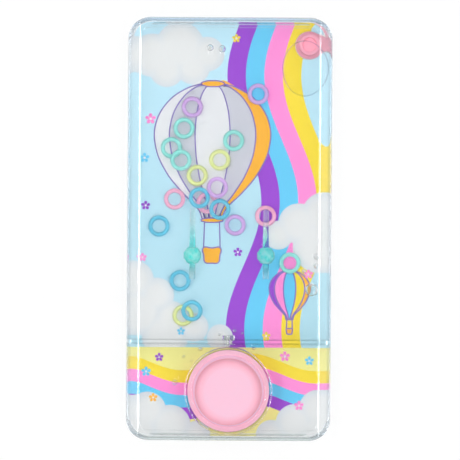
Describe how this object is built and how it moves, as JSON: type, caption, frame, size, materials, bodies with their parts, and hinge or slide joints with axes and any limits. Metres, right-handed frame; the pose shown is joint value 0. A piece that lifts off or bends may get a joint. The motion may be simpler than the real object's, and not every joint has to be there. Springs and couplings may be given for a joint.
{
  "type": "handheld water game",
  "caption": "Flat clear water-filled game case with a pink push button, loose rings, two teal spiked pegs, a printed back and a filler plug.",
  "frame": {"origin": "middle of the case's rear rim, on the plane it lies on", "axes": "+Z out of the front window, +Y along the case to the filler end, away from the button, +X to the player's right"},
  "size_m": [0.07, 0.144, 0.0205],
  "materials": {
    "clear_case": "clear, polished, faint blue",
    "clear_ring": "clear, polished",
    "printed_sheet": "printed self-adhesive film",
    "soft_button": "soft translucent pink, matt",
    "soft_plug": "soft translucent pink, matt",
    "teal_peg": "translucent teal",
    "ring_purple": "pastel purple",
    "ring_teal": "pastel teal",
    "ring_yellow": "pastel yellow",
    "ring_pink": "pastel pink",
    "ring_blue": "sky blue"
  },
  "bodies": {
    "case": {"front_shell": "clear_case", "rear_shell": "clear_case", "picture_label": "printed_sheet", "button_bezel": "clear_ring", "button_flange": "soft_button", "button_skirt": "soft_button", "peg_left": "teal_peg", "peg_right": "teal_peg"},
    "button": {"button_cap": "soft_button"},
    "plug": {"filler_plug": "soft_plug"},
    "ring_purple_1": {"ring_purple_1": "ring_purple"},
    "ring_purple_2": {"ring_purple_2": "ring_purple"},
    "ring_purple_3": {"ring_purple_3": "ring_purple"},
    "ring_purple_4": {"ring_purple_4": "ring_purple"},
    "ring_teal_1": {"ring_teal_1": "ring_teal"},
    "ring_teal_2": {"ring_teal_2": "ring_teal"},
    "ring_teal_3": {"ring_teal_3": "ring_teal"},
    "ring_teal_4": {"ring_teal_4": "ring_teal"},
    "ring_teal_5": {"ring_teal_5": "ring_teal"},
    "ring_yellow_1": {"ring_yellow_1": "ring_yellow"},
    "ring_yellow_2": {"ring_yellow_2": "ring_yellow"},
    "ring_yellow_3": {"ring_yellow_3": "ring_yellow"},
    "ring_pink_1": {"ring_pink_1": "ring_pink"},
    "ring_pink_2": {"ring_pink_2": "ring_pink"},
    "ring_pink_3": {"ring_pink_3": "ring_pink"},
    "ring_blue_1": {"ring_blue_1": "ring_blue"},
    "ring_blue_2": {"ring_blue_2": "ring_blue"},
    "ring_blue_3": {"ring_blue_3": "ring_blue"},
    "ring_blue_4": {"ring_blue_4": "ring_blue"},
    "ring_blue_5": {"ring_blue_5": "ring_blue"}
  },
  "joints": [
    {"name": "button_press", "type": "slide", "parent": "case", "child": "button", "axis": [0, 0, -1], "range_m": [0, 0.0035], "stiffness_N_per_m": 800, "deforming": ["button_skirt"]},
    {"name": "plug_pull", "type": "slide", "parent": "case", "child": "plug", "axis": [0, 0, -1], "range_m": [0, 0.008]},
    {"name": "purple_1_drift", "type": "slide", "parent": "case", "child": "ring_purple_1", "axis": [0, 1, 0], "range_m": [-0.0175, 0.0189]},
    {"name": "purple_2_drift", "type": "slide", "parent": "case", "child": "ring_purple_2", "axis": [0, 1, 0], "range_m": [-0.0002, 0.0235]},
    {"name": "purple_3_drift", "type": "slide", "parent": "case", "child": "ring_purple_3", "axis": [0, 1, 0], "range_m": [-0.0464, 0.0019]},
    {"name": "purple_4_drift", "type": "slide", "parent": "case", "child": "ring_purple_4", "axis": [0, 1, 0], "range_m": [-0.0322, 0.0171]},
    {"name": "teal_1_rise", "type": "slide", "parent": "case", "child": "ring_teal_1", "axis": [0, 0, 1], "range_m": [0, 0.0096]},
    {"name": "teal_2_drift", "type": "slide", "parent": "case", "child": "ring_teal_2", "axis": [1, 0, 0], "range_m": [-0.0083, 0.0008]},
    {"name": "teal_3_drift", "type": "slide", "parent": "case", "child": "ring_teal_3", "axis": [1, 0, 0], "range_m": [-0.0117, 0.0057]},
    {"name": "teal_4_drift", "type": "slide", "parent": "case", "child": "ring_teal_4", "axis": [0, 1, 0], "range_m": [-0.0007, 0.035]},
    {"name": "teal_5_drift", "type": "slide", "parent": "case", "child": "ring_teal_5", "axis": [0, 1, 0], "range_m": [-0.0223, 0.0687]},
    {"name": "yellow_1_rise", "type": "slide", "parent": "case", "child": "ring_yellow_1", "axis": [0, 0, 1], "range_m": [0, 0.0096]},
    {"name": "yellow_2_drift", "type": "slide", "parent": "case", "child": "ring_yellow_2", "axis": [1, 0, 0], "range_m": [-0.0173, 0.002]},
    {"name": "yellow_3_drift", "type": "slide", "parent": "case", "child": "ring_yellow_3", "axis": [0, 1, 0], "range_m": [-0.004, 0.0044]},
    {"name": "pink_1_drift", "type": "slide", "parent": "case", "child": "ring_pink_1", "axis": [1, 0, 0], "range_m": [-0.0024, 0.0035]},
    {"name": "pink_2_drift", "type": "slide", "parent": "case", "child": "ring_pink_2", "axis": [0, 1, 0], "range_m": [-0.0129, 0.0175]},
    {"name": "pink_3_drift", "type": "slide", "parent": "case", "child": "ring_pink_3", "axis": [0, 1, 0], "range_m": [-0.02, 0.002]},
    {"name": "blue_1_drift", "type": "slide", "parent": "case", "child": "ring_blue_1", "axis": [0, 1, 0], "range_m": [-0.0006, 0.0053]},
    {"name": "blue_2_drift", "type": "slide", "parent": "case", "child": "ring_blue_2", "axis": [0, 1, 0], "range_m": [-0.0273, 0.0005]},
    {"name": "blue_3_drift", "type": "slide", "parent": "case", "child": "ring_blue_3", "axis": [0, 1, 0], "range_m": [-0.0111, 0.0023]},
    {"name": "blue_4_drift", "type": "slide", "parent": "case", "child": "ring_blue_4", "axis": [1, 0, 0], "range_m": [-0.0116, 0.0001]},
    {"name": "blue_5_drift", "type": "slide", "parent": "case", "child": "ring_blue_5", "axis": [1, 0, 0], "range_m": [-0.0158, 0.0412]}
  ]
}
